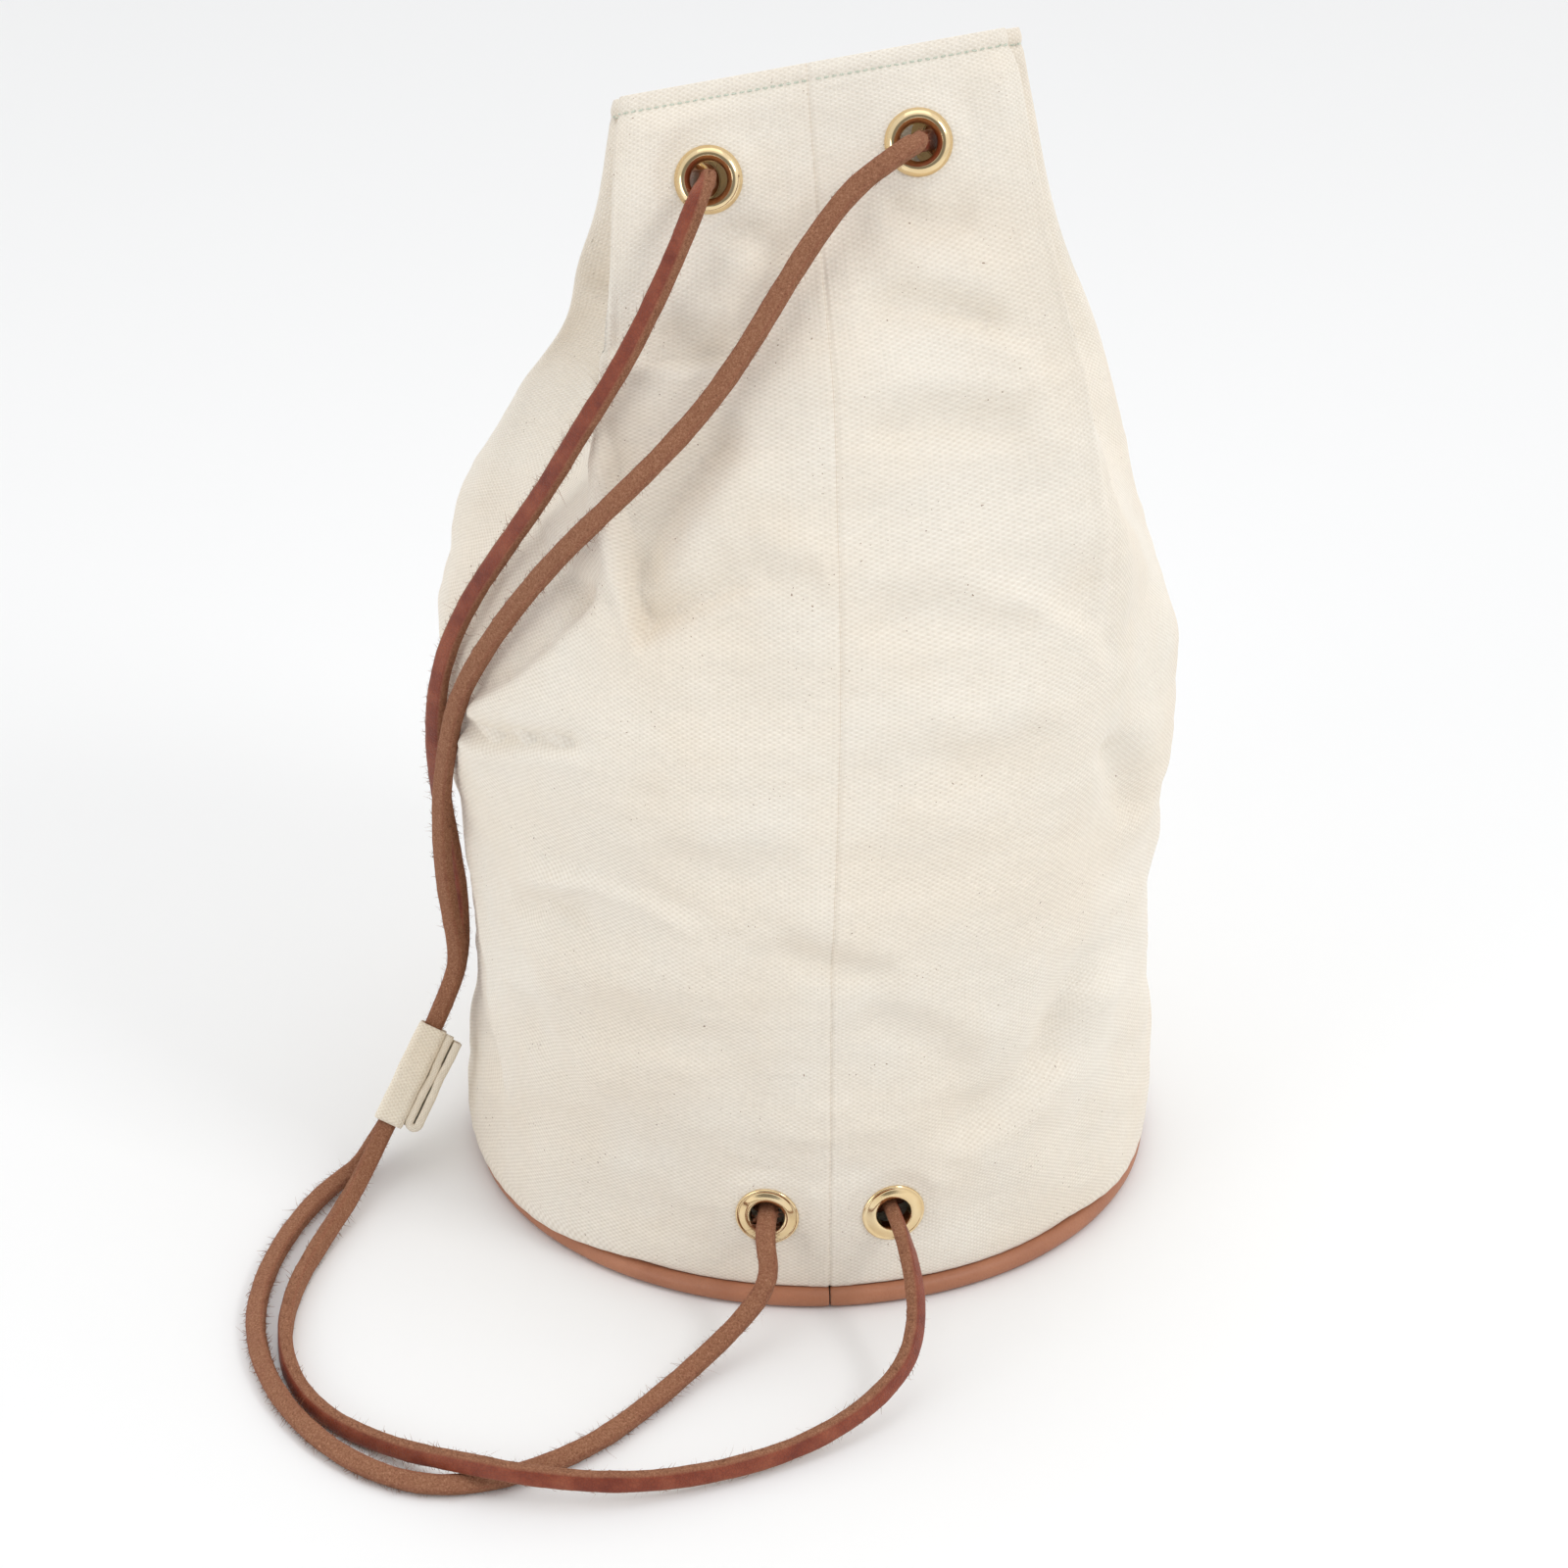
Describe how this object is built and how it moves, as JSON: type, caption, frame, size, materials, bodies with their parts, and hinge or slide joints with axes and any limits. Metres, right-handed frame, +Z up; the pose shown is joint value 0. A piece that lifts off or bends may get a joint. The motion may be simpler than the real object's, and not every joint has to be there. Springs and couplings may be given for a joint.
{
  "type": "bucket bag",
  "caption": "Drawstring bucket bag in undyed canvas, with brass eyelets, a leather lace that closes the mouth and forms the strap, a canvas strap slider and a leather-piped round base.",
  "frame": {"origin": "centre of the round base, on the surface the bag stands on", "axes": "+Z up to the mouth; -Y the side with the seam and the two bottom eyelets; +X the bag's right seen from that side"},
  "size_m": [0.3208, 0.3462, 0.4138],
  "materials": {
    "canvas": "undyed cotton canvas, matt plain weave",
    "tape": "cotton binding tape",
    "lining": "cotton lining cloth",
    "board": "pressed fibre board, unseen",
    "piping_leather": "smooth tan leather",
    "cord_filler": "cotton piping cord, unseen",
    "brass": "polished pale brass",
    "lace_leather": "red-brown leather lace with suede sides",
    "slider_canvas": "folded canvas, matt ribbed weave"
  },
  "bodies": {
    "bag": {"canvas_body": "canvas", "mouth_facing": "canvas", "seam_binding": "tape", "base_canvas": "canvas", "base_board": "board", "base_lining": "lining", "piping": "piping_leather", "piping_core": "cord_filler", "mouth_01_eyelet": "brass", "mouth_01_washer": "brass", "mouth_02_eyelet": "brass", "mouth_02_washer": "brass", "mouth_03_eyelet": "brass", "mouth_03_washer": "brass", "mouth_04_eyelet": "brass", "mouth_04_washer": "brass", "mouth_05_eyelet": "brass", "mouth_05_washer": "brass", "mouth_06_eyelet": "brass", "mouth_06_washer": "brass", "mouth_07_eyelet": "brass", "mouth_07_washer": "brass", "mouth_08_eyelet": "brass", "mouth_08_washer": "brass", "mouth_09_eyelet": "brass", "mouth_09_washer": "brass", "mouth_10_eyelet": "brass", "mouth_10_washer": "brass", "mouth_11_eyelet": "brass", "mouth_11_washer": "brass", "mouth_12_eyelet": "brass", "mouth_12_washer": "brass", "bottom_left_eyelet": "brass", "bottom_left_washer": "brass", "bottom_right_eyelet": "brass", "bottom_right_washer": "brass", "mouth_lace": "lace_leather", "strap_left": "lace_leather", "strap_right": "lace_leather", "knot_left": "lace_leather", "knot_right": "lace_leather"},
    "slider": {"slider": "slider_canvas"}
  },
  "joints": [
    {"name": "slider_slide", "type": "slide", "parent": "bag", "child": "slider", "axis": [0.4504, 0.4433, 0.775], "range_m": [-0.004, 0.008]}
  ]
}
